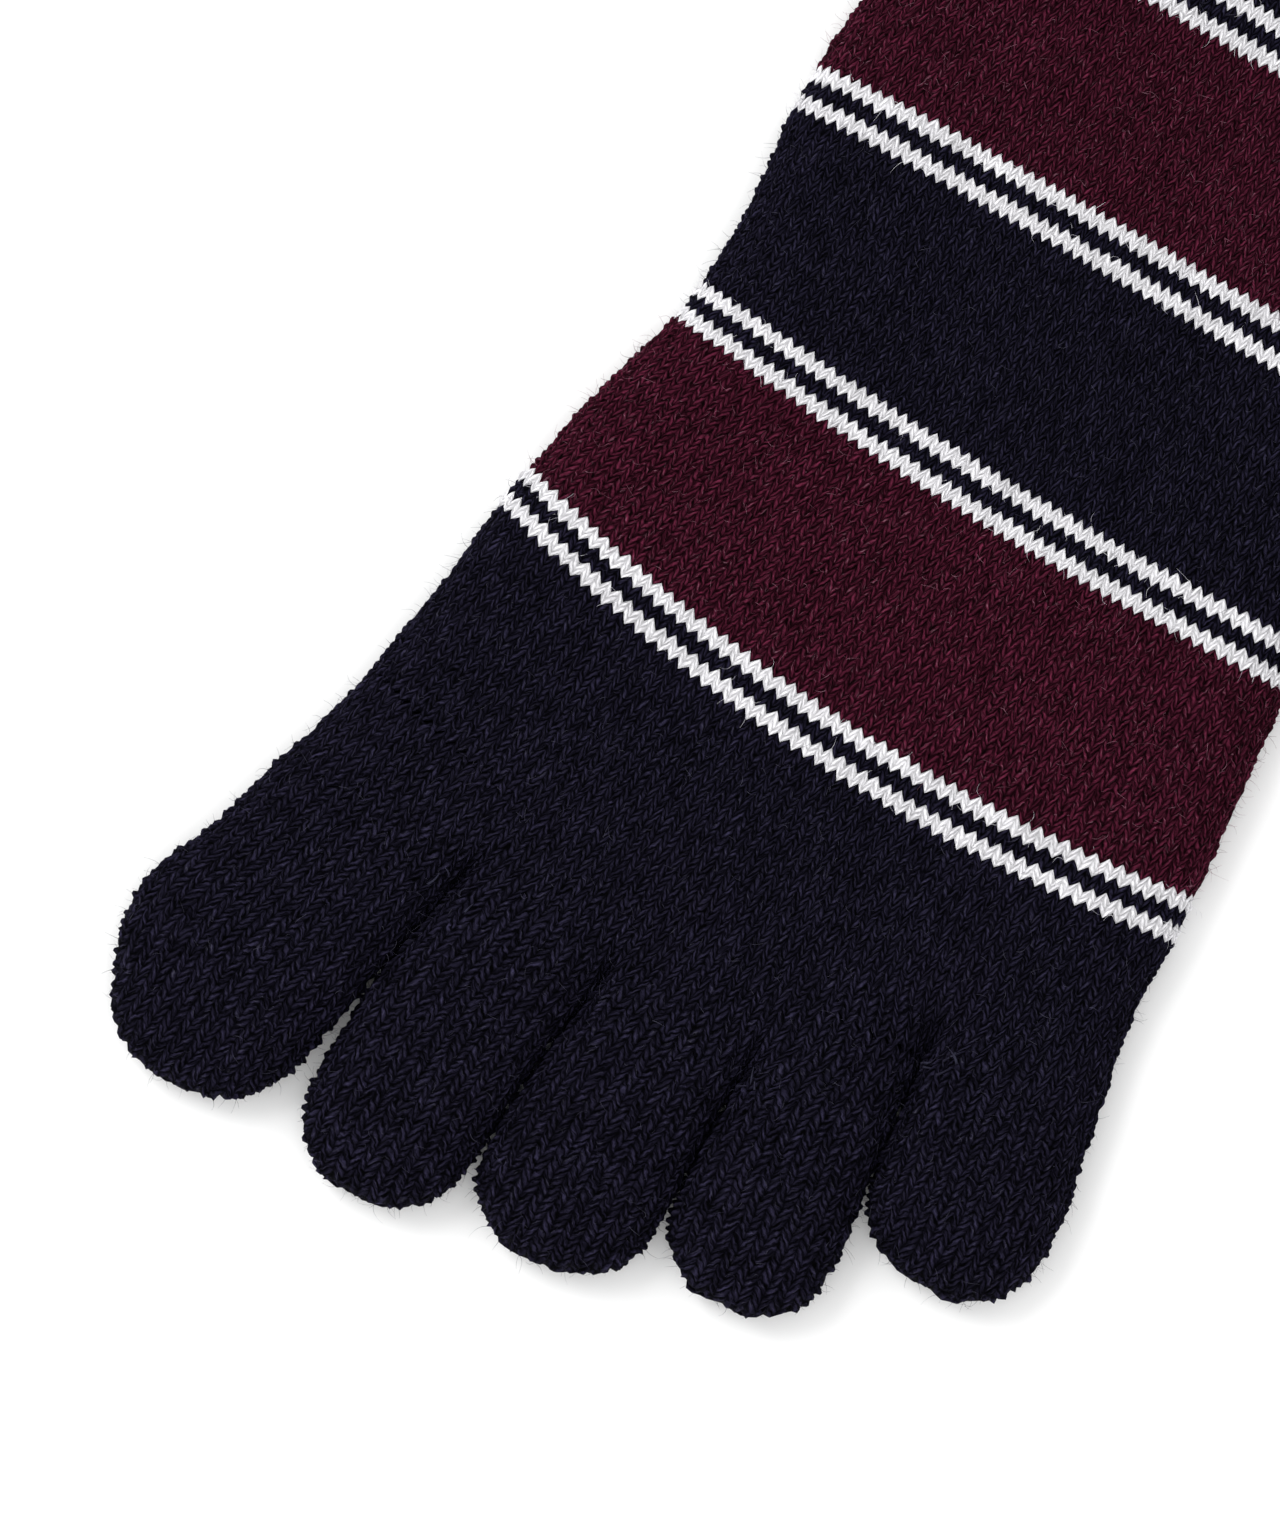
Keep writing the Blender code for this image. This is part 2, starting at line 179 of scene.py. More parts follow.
# Waves over the plan: length in metres, direction and phase in radians.
SWELLS = ((0.031, 0.4, 0.0), (0.019, 1.9, 1.0), (0.012, 2.7, 2.2), (0.0085, 1.1, 4.0))
NIBBLES = ((0.0012, 0.3, 0.4), (0.0016, 1.7, 2.1), (0.0013, 2.4, 4.4), (0.0024, 0.9, 1.1))
WOBBLE_ACROSS = ((0.0052, 0.2, 0.5), (0.0037, 1.3, 2.0), (0.0081, 2.2, 3.0), (0.0029, 2.9, 5.0))
WOBBLE_ALONG = ((0.0047, 0.9, 1.5), (0.0033, 1.8, 0.2), (0.0074, 0.1, 4.1), (0.0027, 2.5, 2.4))


class ToeSockKnit(bpy.types.PropertyGroup):
    """Sizes of the knit."""
    thickness: FloatProperty(
        name="Thickness", description="Thickness of the knitted wall",
        default=0.0014, unit="LENGTH")
    relief: FloatProperty(
        name="Relief", description="Depth of the valleys between the legs of the stitches",
        default=0.00042, unit="LENGTH")
    slant: FloatProperty(
        name="Slant", description="How far a stitch's leg runs along the sock",
        default=0.0010, unit="LENGTH")
    joint: FloatProperty(
        name="Joint", description="How far two pieces that are knitted together overlap",
        default=0.00003, unit="LENGTH")
    steepness: FloatProperty(
        name="Steepness", description="How much further a leg runs than its colour, in courses",
        default=0.50)
    plumpness: FloatProperty(
        name="Plumpness", description="How far the yarn stands out of its wall",
        default=0.00030, unit="LENGTH")
    waviness: FloatProperty(
        name="Waviness", description="Height of the slow swells of the cloth",
        default=0.00018, unit="LENGTH")
    unevenness: FloatProperty(
        name="Unevenness", description="How much one leg stands lower than the next",
        default=0.00034, unit="LENGTH")
    wobble: FloatProperty(
        name="Wobble", description="How far the stitches stray from their even rows",
        default=0.00018, unit="LENGTH")
    edge_swell: FloatProperty(
        name="Edge swell", description="How much further the yarn stands out along the folds",
        default=0.00022, unit="LENGTH")
    edge_relief: FloatProperty(
        name="Edge relief", description="How much deeper the valleys are along the folds",
        default=1.1)
    rib_depth: FloatProperty(
        name="Rib depth", description="Depth of the furrows between the cuff's ribs",
        default=0.0007, unit="LENGTH")
    rib_wales: IntProperty(
        name="Rib wales", description="Wales from one of the cuff's ribs to the next",
        default=4)


class ToeSockYarns(bpy.types.PropertyGroup):
    """Colours of the yarns, and their loose fibres."""
    navy: FloatVectorProperty(
        name="Navy", description="Colour of the navy yarn",
        default=(0.0118, 0.0104, 0.0222), subtype="COLOR")
    burgundy: FloatVectorProperty(
        name="Burgundy", description="Colour of the burgundy yarn",
        default=(0.0620, 0.0084, 0.0210), subtype="COLOR")
    white: FloatVectorProperty(
        name="White", description="Colour of the white yarn",
        default=(0.86, 0.85, 0.88), subtype="COLOR")
    navy_fibre: FloatVectorProperty(
        name="Navy fibre", description="Colour of the paler fibres in the navy yarn",
        default=(0.085, 0.082, 0.118), subtype="COLOR")
    burgundy_fibre: FloatVectorProperty(
        name="Burgundy fibre", description="Colour of the paler fibres in the burgundy yarn",
        default=(0.34, 0.170, 0.225), subtype="COLOR")
    white_fibre: FloatVectorProperty(
        name="White fibre", description="Colour of the greyer fibres in the white yarn",
        default=(0.46, 0.44, 0.50), subtype="COLOR")
    tuck: FloatVectorProperty(
        name="Tuck", description="Colour of the yarn ends tucked in between the toes",
        default=(0.026, 0.026, 0.046), subtype="COLOR")
    fibre_radius: FloatProperty(
        name="Fibre radius", description="Radius of a loose fibre at its root",
        default=0.000026, unit="LENGTH")
    fibre_length: FloatProperty(
        name="Fibre length", description="Usual length of a loose fibre",
        default=0.0014, unit="LENGTH")
    tuck_radius: FloatProperty(
        name="Tuck radius", description="Radius of a tucked end of yarn",
        default=0.00021, unit="LENGTH")
    tuck_length: FloatProperty(
        name="Tuck length", description="Usual length of a tucked end of yarn",
        default=0.0018, unit="LENGTH")
    seed: IntProperty(name="Seed", description="Seed of all that is irregular", default=11)


class ToeSockStage(bpy.types.PropertyGroup):
    """Sizes and strengths of the stage."""
    floor_size: FloatProperty(
        name="Floor", description="Side of the floor", default=6.0, unit="LENGTH")
    floor_colour: FloatVectorProperty(
        name="Floor colour", description="Colour of the floor",
        default=(0.90, 0.90, 0.90), subtype="COLOR")
    view_centre: FloatVectorProperty(
        name="View centre", description="Point that the camera looks straight down at",
        size=2, default=(-0.01327, -0.10276), subtype="XYZ")
    view_turn: FloatProperty(
        name="View turn", description="Turn of the picture about the vertical",
        default=math.radians(30.0), subtype="ANGLE")
    view_height: FloatProperty(
        name="View height", description="Length that the picture's long side shows",
        default=0.1829, unit="LENGTH")
    lens: FloatProperty(name="Lens", description="Focal length in millimetres", default=120.0)
    key_strength: FloatProperty(
        name="Key light", description="Power of the large soft light", default=5.5)
    sky_strength: FloatProperty(
        name="Sky", description="Strength of the even light from all round", default=1.16)


def column(name, along):
    """Smooth value of one column of SECTIONS: a cubic through the rows, whose slope at
    each row is the mean of the slopes beside it."""
    places, values = SECTIONS[:, ALONG], SECTIONS[:, name]
    slopes = np.gradient(values, places)
    along = np.clip(along, places[0], places[-1])
    row = np.clip(np.searchsorted(places, along, side="right") - 1, 0, len(places) - 2)
    step = places[row + 1] - places[row]
    t = (along - places[row]) / step
    start, end = values[row], values[row + 1]
    return (
        start * (2 * t ** 3 - 3 * t ** 2 + 1) + end * (3 * t ** 2 - 2 * t ** 3)
        + step * (slopes[row] * (t ** 3 - 2 * t ** 2 + t) + slopes[row + 1] * (t ** 3 - t ** 2))
    )


def smoothstep(value):
    """Ease from 0 to 1 with level ends."""
    value = np.clip(value, 0.0, 1.0)
    return value * value * (3.0 - 2.0 * value)


def plan(share, course):
    """Plan of the tube's top: the wale at a share of the width, 0 at the left fold and
    1 at the right, where it crosses the course that starts so far from the toe roots.
    A course bows towards the cuff by a square law on each side of its middle."""
    along = course / TUBE_LENGTH
    before = np.clip((BOW_CENTRE - share) / BOW_CENTRE, 0.0, 1.0)
    after = np.clip((share - BOW_CENTRE) / (1.0 - BOW_CENTRE), 0.0, 1.0)
    lead = column(LEFT_LEAD, along) * before ** 2 + column(RIGHT_LEAD, along) * after ** 2
    y = course + lead * FOOT_WIDTH
    left = -column(LEFT, y / TUBE_LENGTH) * FOOT_WIDTH
    right = column(RIGHT, y / TUBE_LENGTH) * FOOT_WIDTH
    return np.stack([left + (right - left) * share, y], axis=-1)


def tube_width(course):
    """Width of the tube from fold to fold."""
    along = course / TUBE_LENGTH
    return (column(LEFT, along) + column(RIGHT, along)) * FOOT_WIDTH


def crown(distance, reach):
    """Rise of the cloth from 0 at a fold to 1 where the top is level: a quarter of an
    ellipse as long as the reach."""
    near = 1.0 - np.clip(distance / reach, 0.0, 1.0)
    return np.sqrt(1.0 - near * near)


def edge_share(fraction, width, reach, rise):
    """Share of the width at an even fraction of the cloth's own length, over cloth that
    climbs a quarter ellipse from a fold at its start and is level after it."""
    across, up = reach * (1.0 - np.cos(TURNS)), rise * np.sin(TURNS)
    arc = np.append(0.0, np.cumsum(np.hypot(np.diff(across), np.diff(up))))
    cloth = fraction * (arc[-1] + width - reach)
    on_crown = np.interp(cloth, arc, across)
    return np.where(cloth < arc[-1], on_crown, cloth - arc[-1] + reach) / width


def hump_share(fraction, width, reach, rise):
    """The same over cloth with a fold at both ends: two mirrored halves."""
    near = np.minimum(fraction, 1.0 - fraction)
    share = edge_share(2.0 * near, width / 2, reach, rise) / 2
    return np.where(fraction < 0.5, share, 1.0 - share)


def blended(start, end, share):
    """Start where the share is 0 and end where it is 1, and even steps between."""
    return start + (end - start) * share


def tube_fill(course):
    """How far the tube has left the form of the toes, from 0 at their roots to 1."""
    return smoothstep(course / CROTCH_FADE)


def outer_reach(course):
    """Reach of the crown at the tube's outer folds."""
    return blended(TOE_CROWN_REACH, FOOT_CROWN_REACH, tube_fill(course))


def tube_level(course):
    """Height of the tube where its top is level."""
    height = FOOT_HEIGHT * column(HEIGHT, course / TUBE_LENGTH)
    return blended(TOE_HEIGHT, height, tube_fill(course))


class Round:
    """Columns of stitches round a flattened tube: over its top from one wale to another,
    round the right fold, back underneath and round the left fold. Spot counts the wales
    round it; the last column closes on the first."""

    def __init__(self, first_wale, last_wale, under_loss, per_wale):
        self.top = last_wale - first_wale
        self.under = self.top - under_loss
        self.total = self.top + self.under + 2 * FOLD_WALES
        self.spot = np.arange(self.total * per_wale + 1) / per_wale
        self.wale = first_wale + np.minimum(self.spot, self.top)
        self.on_top = self.spot <= self.top
        self.first_under = self.top + FOLD_WALES
        self.last_under = self.first_under + self.under
        self.right_turn = np.clip((self.spot - self.top) / FOLD_WALES, 0.0, 1.0)
        self.back = np.clip((self.spot - self.first_under) / self.under, 0.0, 1.0)
        self.left_turn = np.clip((self.total - self.spot) / FOLD_WALES, 0.0, 1.0)

    def below(self, reach_share):
        """Share of the width at each column past the right fold. Round a fold the cloth
        turns a quarter ellipse of that reach."""
        right = 1.0 - reach_share * (1.0 - np.cos(self.right_turn * math.pi / 2))
        flat = 1.0 - reach_share - self.back * (1.0 - 2.0 * reach_share)
        left = reach_share * (1.0 - np.cos(self.left_turn * math.pi / 2))
        return np.where(self.back <= 0.0, right, np.where(self.back < 1.0, flat, left))

    def below_height(self, lift):
        """Height of each column past the right fold. Lift below 1 draws the underside
        up to the height of the folds."""
        turn = np.where(self.back < 0.5, self.right_turn, self.left_turn)
        return FOLD_HEIGHT - FOLD_HEIGHT * lift * np.sin(turn * math.pi / 2)

    def zigzag(self):
        """Half up at the borders of the wales and half down at their centres."""
        return np.abs(2.0 * (self.spot % 1.0) - 1.0) - 0.5


def tube_points(ring, base, slant, left_fold, right_fold, crotches):
    """Points of the tube on a grid of courses and columns. The top climbs a crown from
    each outer fold, and a crown on each side of a crotch, which fades with the distance
    from the crotch."""
    course = base[:, None] + slant * ring.zigzag()
    width = tube_width(course)
    place = np.clip(np.searchsorted(WALE_BORDERS, ring.wale, side="right") - 1, 0, 4)
    first, last = SHARE_BORDERS[place], SHARE_BORDERS[place + 1]
    fraction = (ring.wale - WALE_BORDERS[place]) / np.diff(WALE_BORDERS)[place]
    span = (last - first) * width
    rise = FOOT_HEIGHT - FOLD_HEIGHT
    inside = [b for b, _ in crotches]
    humped_left = np.isin(first, [left_fold, *inside])
    humped_right = np.isin(last, [right_fold, *inside])
    from_left = edge_share(fraction, span, TOE_CROWN_REACH, rise)
    from_right = 1.0 - edge_share(1.0 - fraction, span, TOE_CROWN_REACH, rise)
    both = hump_share(fraction, span, TOE_CROWN_REACH, rise)
    humped = np.select(
        [humped_left & humped_right, humped_left, humped_right], [both, from_left, from_right],
        fraction)
    level_left = edge_share(fraction, span, FOOT_CROWN_REACH, rise)
    level_right = 1.0 - edge_share(1.0 - fraction, span, FOOT_CROWN_REACH, rise)
    level = np.where(first == left_fold, level_left, np.where(last == right_fold, level_right, fraction))
    since = base[:, None] - (crotches[0][1] if crotches else -CROTCH_FADE)
    within = blended(humped, level, smoothstep(since / CROTCH_FADE))
    top_share = first + (last - first) * within
    reach_share = FOLD_REACH / (width * (right_fold - left_fold))
    below_share = left_fold + (right_fold - left_fold) * ring.below(reach_share)
    share = np.where(ring.on_top, top_share, below_share)
    distance = np.minimum(share - left_fold, right_fold - share) * width
    high = crown(distance, outer_reach(course))
    for border, start in crotches:
        reach = np.where((share < border) & (start > 0.0), FOOT_CROWN_REACH, TOE_CROWN_REACH)
        dip = crown(np.abs(share - border) * width, reach)
        high = np.minimum(high, blended(dip, 1.0, smoothstep((course - start) / CROTCH_FADE)))
    top = FOLD_HEIGHT + (tube_level(course) - FOLD_HEIGHT) * high
    height = np.where(ring.on_top, top, ring.below_height(1.0))
    return np.concatenate([plan(share, course), height[..., None]], axis=-1)


def toe_axis(toe, root, station):
    """Centre of a toe's section at a share of its length, and the direction across it.
    The toe's axis bends evenly from its root's lean to its tip's."""
    length, _, root_lean, tip_lean = TOES[toe][:4]
    steps = (np.arange(AXIS_STEPS) + 0.5) / AXIS_STEPS * station[..., None]
    leans = np.radians(root_lean + (tip_lean - root_lean) * steps)
    move = np.stack([np.sin(leans).mean(axis=-1), np.cos(leans).mean(axis=-1)], axis=-1)
    lean = np.radians(root_lean + (tip_lean - root_lean) * station)
    across = np.stack([np.cos(lean), -np.sin(lean)], axis=-1)
    return root - move * length * station[..., None], across


def toe_points(toe, number, ring, base, slant):
    """Points of a toe on a grid of courses and columns, and the columns that its rounded
    nose has cut off. Base is the distance from the root, below zero towards the tip. The
    wales run on straight through the nose, whose half width falls as the root of one
    less a power of the way into it; a column past the outline stays on the outline."""
    length, width, _, _, nose, blunt, bulge, _ = TOES[toe]
    first, last = SHARE_BORDERS[number], SHARE_BORDERS[number + 1]
    root_course = RUN_STARTS["forefoot"] if toe == "little_toe" else 0.0
    fraction = np.clip((ring.wale - WALE_BORDERS[number]) / ring.top, 0.0, 1.0)

    def narrowing(course):
        station = np.clip(-course / length, 0.0, 1.0)
        into_nose = np.clip((station - (1.0 - nose)) / nose, 0.0, 1.0)
        return station, into_nose, np.sqrt(np.maximum(1.0 - into_nose ** blunt, 1e-9))

    _, into_nose, narrow = narrowing(base[:, None])
    root_rise = tube_level(root_course) - FOLD_HEIGHT
    even = hump_share(fraction, width, TOE_CROWN_REACH, root_rise)
    inside = ring.top * (narrow / 2 - np.abs(even - 0.5))
    at_edge = np.where(ring.on_top, smoothstep(inside), np.where(ring.back % 1.0 > 0.0, smoothstep(
        ring.top * (narrow / 2 - np.abs(ring.below(FOLD_REACH / width) - 0.5)) - 1.0), 0.0))
    in_nose = smoothstep(into_nose / EDGE_FADE)
    near_tip = smoothstep((base[:, None] + length) / (TIP_FADE * slant))
    local_slant = slant * near_tip * (1.0 - in_nose * (1.0 - at_edge))
    course = base[:, None] + local_slant * ring.zigzag()
    station, into_nose, narrow = narrowing(course)
    grown = smoothstep(station / (1.0 - nose))

    ends = plan(np.array([first, last]), np.array([root_course, root_course]))
    half_slit = np.array([TOE_SLIT / 2, 0.0])
    root_left = ends[0] + (half_slit if first > 0.0 else 0.0)
    root_right = ends[1] - (half_slit if last < 1.0 else 0.0)
    root = (root_left + root_right) / 2
    root_width = np.linalg.norm(root_right - root_left)
    root_across = toe_axis(toe, root, np.zeros(1))[1][0]
    left_miss = root_left - (root - root_across * root_width / 2)
    right_miss = root_right - (root + root_across * root_width / 2)

    centre, across = toe_axis(toe, root, station)
    body_half = blended(root_width, width, grown) / 2
    half = (body_half * narrow)[..., None]
    settled = (1.0 - grown)[..., None]
    bump = 0.5 + 0.5 * np.cos(math.pi * np.minimum(np.abs(station - BULGE_PLACE) / BULGE_SPREAD, 1.0))
    left = centre - across * (half + bulge * width * bump[..., None]) + left_miss * settled
    right = centre + across * half + right_miss * settled
    local_width = np.linalg.norm(right - left, axis=-1)
    reach_share = np.minimum(FOLD_REACH / np.maximum(local_width, 1e-6), FOLD_REACH_SHARE)
    body_reach = FOLD_REACH / (2 * body_half)
    top_raw = 0.5 + (hump_share(fraction, 2 * body_half, TOE_CROWN_REACH, root_rise) - 0.5) / narrow
    flat_raw = 0.5 + ((1.0 - body_reach) - ring.back * (1.0 - 2.0 * body_reach) - 0.5) / narrow
    flat = np.clip(flat_raw, reach_share, 1.0 - reach_share)
    underneath = (ring.spot >= ring.first_under) & (ring.spot <= ring.last_under)
    below_share = np.where(underneath, flat, ring.below(reach_share))
    share = np.where(ring.on_top, np.clip(top_raw, 0.0, 1.0), below_share)
    cut = np.where(
        ring.on_top, (top_raw < -1e-9) | (top_raw > 1.0 + 1e-9),
        underneath & ((flat_raw < reach_share - 1e-9) | (flat_raw > 1.0 - reach_share + 1e-9)))

    bow_shares = np.linspace(0.0, 1.0, 33)
    start = plan(first + (last - first) * bow_shares, np.full(33, root_course))
    bow = start - (start[0] + (start[-1] - start[0]) * bow_shares[:, None])
    bend = np.stack([np.interp(share, bow_shares, bow[:, axis]) for axis in (0, 1)], axis=-1)
    past_root = np.stack([np.zeros_like(course), np.maximum(course, 0.0)], axis=-1)
    spots = left + (right - left) * share[..., None] + bend * settled + past_root

    lift = np.sqrt(np.maximum(1.0 - into_nose ** NOSE_DEPTH, 0.0))
    left_reach = outer_reach(root_course) if first == 0.0 else TOE_CROWN_REACH
    right_reach = outer_reach(root_course) if last == 1.0 else TOE_CROWN_REACH
    high = np.minimum(
        crown(share * local_width, blended(left_reach, TOE_CROWN_REACH, grown)),
        crown((1.0 - share) * local_width, blended(right_reach, TOE_CROWN_REACH, grown)))
    rise = blended(root_rise, TOE_HEIGHT - FOLD_HEIGHT, grown) * high * lift
    height = np.where(ring.on_top, FOLD_HEIGHT + rise, ring.below_height(lift))
    return np.concatenate([spots, height[..., None]], axis=-1), cut, course <= -length * (1 - 1e-7)


def point_numbers(ring, rows, cut=None, at_tip=None):
    """Number of the point at each grid spot, counted row by row. The last column shares
    the first one's points, a column that the nose has cut off shares its outline's, and
    a row at the tip is one point."""
    numbers = np.arange(rows * len(ring.spot)).reshape(rows, -1)
    if cut is not None:
        right_half = ring.spot < (ring.first_under + ring.last_under) / 2
        on_right = np.where(ring.on_top, ring.spot > ring.top / 2, right_half)
        side = np.where(
            ring.on_top, np.where(on_right, ring.top, 0),
            np.where(on_right, ring.first_under, ring.last_under))
        owner = np.searchsorted(ring.spot, side - 1e-6)
        numbers = np.where(cut, numbers[:, owner], numbers)
        tip_rows = at_tip.all(axis=1)
        numbers[tip_rows] = numbers[tip_rows, :1]
    numbers[:, -1] = numbers[:, 0]
    return numbers


def grid_triangles(numbers):
    """Triangles of grid spots between neighbouring rows, without those that have shrunk
    to a line because two of their spots share a point, and without the pairs that lie
    back to back on the same three points."""
    rows, columns = numbers.shape
    spots = np.arange(rows * columns).reshape(rows, columns)
    a, b, c, d = spots[:-1, :-1], spots[:-1, 1:], spots[1:, 1:], spots[1:, :-1]
    triangles = np.concatenate([
        np.stack([a, b, c], axis=-1).reshape(-1, 3), np.stack([a, c, d], axis=-1).reshape(-1, 3)])
    used = numbers.ravel()[triangles]
    whole = (used[:, 0] != used[:, 1]) & (used[:, 1] != used[:, 2]) & (used[:, 2] != used[:, 0])
    _, same, count = np.unique(
        np.sort(used[whole], axis=1), axis=0, return_inverse=True, return_counts=True)
    return triangles[whole][count[same.ravel()] == 1]


def vertex_normals(points, triangles):
    """Normal at each point: the sum of its triangles' cross products, made one long."""
    corners = points[triangles]
    cross = np.cross(corners[:, 1] - corners[:, 0], corners[:, 2] - corners[:, 0])
    total = np.zeros_like(points)
    for corner in range(3):
        for axis in range(3):
            total[:, axis] += np.bincount(triangles[:, corner], cross[:, axis], len(points))
    return total / np.maximum(np.linalg.norm(total, axis=1, keepdims=True), 1e-15)


def waves(spots, table):
    """Sum of sine waves over the plan, one for each (length, direction, phase)."""
    total = np.zeros(spots.shape[:-1])
    for length, direction, phase in table:
        along = spots[..., 0] * math.cos(direction) + spots[..., 1] * math.sin(direction)
        total += np.sin(along * 2.0 * math.pi / length + phase)
    return total / len(table)


def strayed(knit, spots):
    """The grid with its stitches a little off their even rows, by waves over the plan."""
    strayed_spots = spots.copy()
    strayed_spots[..., 0] += knit.wobble * waves(spots, WOBBLE_ACROSS)
    strayed_spots[..., 1] += knit.wobble * waves(spots, WOBBLE_ALONG)
    return strayed_spots


def stitch_relief(knit, u, v, rib, pair, rng):
    """How far each spot lies below the knit's highest line, in metres. A leg is a ridge
    along each half wale: the sine of its course's share gives its round back, and a
    dip at the border and the middle of the wale parts it from its neighbours."""
    leg = np.abs(np.sin(2.0 * math.pi * u)) ** 0.7
    border = np.abs(2.0 * (u % 1.0) - 1.0)
    floor = 0.42 - 0.34 * border * (1.0 + pair * np.cos(math.pi * np.round(u)))
    back = np.abs(np.sin(math.pi * (v - knit.steepness * (border - 0.5)))) ** 0.8
    height = back * blended(floor, 1.0, leg)
    tall = rng.uniform(0.0, knit.unevenness, (int(v.max()) + 2, 2 * int(u.max()) + 4))
    uneven = tall[np.floor(v).astype(int), np.floor(2.0 * u).astype(int)]
    ribbing = rib * knit.rib_depth * (0.5 - 0.5 * np.cos(2.0 * math.pi * u / knit.rib_wales))
    return knit.relief * (1.0 - height) + uneven * np.sin(math.pi * (v % 1.0)) * leg + ribbing


def new_piece(name, points, triangles, uv, material):
    """A piece from arrays of points, triangles and one UV for each of their corners."""
    mesh = bpy.data.meshes.new(name)
    mesh.vertices.add(len(points))
    mesh.vertices.foreach_set("co", points.astype(np.float32).ravel())
    mesh.loops.add(triangles.size)
    mesh.loops.foreach_set("vertex_index", triangles.astype(np.int32).ravel())
    mesh.polygons.add(len(triangles))
    mesh.polygons.foreach_set("loop_start", np.arange(0, triangles.size, 3, dtype=np.int32))
    mesh.polygons.foreach_set("use_smooth", np.ones(len(triangles), dtype=bool))
    layer = mesh.uv_layers.new(name=UV_NAME)
    layer.data.foreach_set("uv", uv.astype(np.float32).ravel())
    mesh.materials.append(material)
    mesh.update(calc_edges=True)
    if mesh.validate():
        raise RuntimeError(f"{name} has broken faces")
    piece = bpy.data.objects.new(name, mesh)
    bpy.context.scene.collection.objects.link(piece)
    return piece


def knit_wall(name, material, outer, lining, tip=None):
    """One knitted wall. Outer and lining are (points, numbers, u, v) on two grids with
    the same columns; a rim joins them at each open end, and the tip closes the lining."""
    points, triangles, uvs, start = [], [], [], 0
    ends = []
    for layer, (spots, numbers, u, v) in enumerate((outer, lining)):
        faces = grid_triangles(numbers)
        grid_uv = np.stack(np.broadcast_arrays(u[None, :], v[:, None]), axis=-1).reshape(-1, 2)
        faces = faces[:, ::-1] if layer else faces
        points.append(spots.reshape(-1, 3))
        triangles.append(numbers.ravel()[faces] + start)
        uvs.append(grid_uv[faces])
        ends.append((numbers[0] + start, numbers[-1] + start))
        start += numbers.size
    u = outer[2]
    rims = [(ends[0][1], ends[1][1], outer[3][-1], 1)]
    if tip is None:
        rims.append((ends[0][0], ends[1][0], outer[3][0], -1))
    for outside, inside, v, way in rims:
        a, b, c, d = outside[:-1], outside[1:], inside[1:], inside[:-1]
        quads = np.concatenate([np.stack([a, b, c], axis=-1), np.stack([a, c, d], axis=-1)])
        near = np.stack([u[:-1], u[1:], u[1:]], axis=-1), np.stack([u[:-1], u[1:], u[:-1]], axis=-1)
        rim_u = np.concatenate(near)
        rim_v = np.concatenate([
            np.tile([0.0, 0.0, 1.0], (len(a), 1)), np.tile([0.0, 1.0, 1.0], (len(a), 1))])
        faces = quads[:, ::-1] if way < 0 else quads
        face_uv = np.stack([rim_u, v + way * rim_v], axis=-1)
        face_uv = face_uv[:, ::-1] if way < 0 else face_uv
        keep = (faces[:, 0] != faces[:, 1]) & (faces[:, 1] != faces[:, 2]) & (faces[:, 2] != faces[:, 0])
        triangles.append(faces[keep])
        uvs.append(face_uv[keep])
    if tip is not None:
        last = ends[1][0]
        faces = np.stack([np.full(len(last) - 1, start), last[:-1], last[1:]], axis=-1)
        keep = faces[:, 1] != faces[:, 2]
        tip_uv = np.stack([u[:-1], u[:-1], u[1:]], axis=-1)
        triangles.append(faces[keep])
        uvs.append(np.stack([tip_uv, np.full_like(tip_uv, lining[3][0])], axis=-1)[keep])
        points.append(np.asarray(tip)[None])
    points, triangles, uvs = np.vstack(points), np.vstack(triangles), np.vstack(uvs)
    used, places = np.unique(triangles, return_inverse=True)
    piece = new_piece(name, points[used], places.reshape(-1, 3), uvs, material)
    piece["outer_points"] = int((used < outer[1].size).sum())
    return piece


def origin_shift():
    """From the foot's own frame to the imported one: the cuff's first section has its left
    fold at the low side of the cuff's box, and its last section ends at the far side."""
    low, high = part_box("cuff")
    fold = plan(0.0, RUN_STARTS["cuff"])
    return np.array([low.x - fold[0], high.y - (TUBE_LENGTH - SEAM_GAP), 0.0])


def relieved(knit, spots, numbers, ring, v, rib, pair, rough, rng):
    """The outer grid moved along its own normals: out by the yarn's plumpness and the
    cloth's slow swells, except where it rests, and in by the stitches' relief. Rough is
    how strongly the stitches stand out along the folds."""
    faces = numbers.ravel()[grid_triangles(numbers)]
    normals = vertex_normals(spots.reshape(-1, 3), faces).reshape(spots.shape)
    depth = stitch_relief(knit, ring.spot[None, :], v[:, None], rib, pair, rng)
    free = smoothstep((normals[..., 2] + REST_SLOPE) / REST_SLOPE)
    edge = rough * (1.0 - np.abs(normals[..., 2]))
    ragged = knit.edge_swell * edge * (1.0 + 1.6 * waves(spots, NIBBLES))
    swell = knit.plumpness + ragged + knit.waviness * waves(spots, SWELLS)
    depth = depth * (1.0 + knit.edge_relief * edge)
    moved = strayed(knit, spots) + normals * (free * swell - depth)[..., None]
    moved[..., 2] = np.maximum(moved[..., 2], 0.0)
    return moved


def lined(knit, spots, numbers):
    """The lining: the grid moved in by the knit's thickness, along its own normals."""
    faces = numbers.ravel()[grid_triangles(numbers)]
    normals = vertex_normals(spots.reshape(-1, 3), faces).reshape(spots.shape)
    return spots - normals * knit.thickness


def finish_piece(piece, node):
    """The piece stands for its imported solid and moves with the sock."""
    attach(piece, "root")
    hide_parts(node)


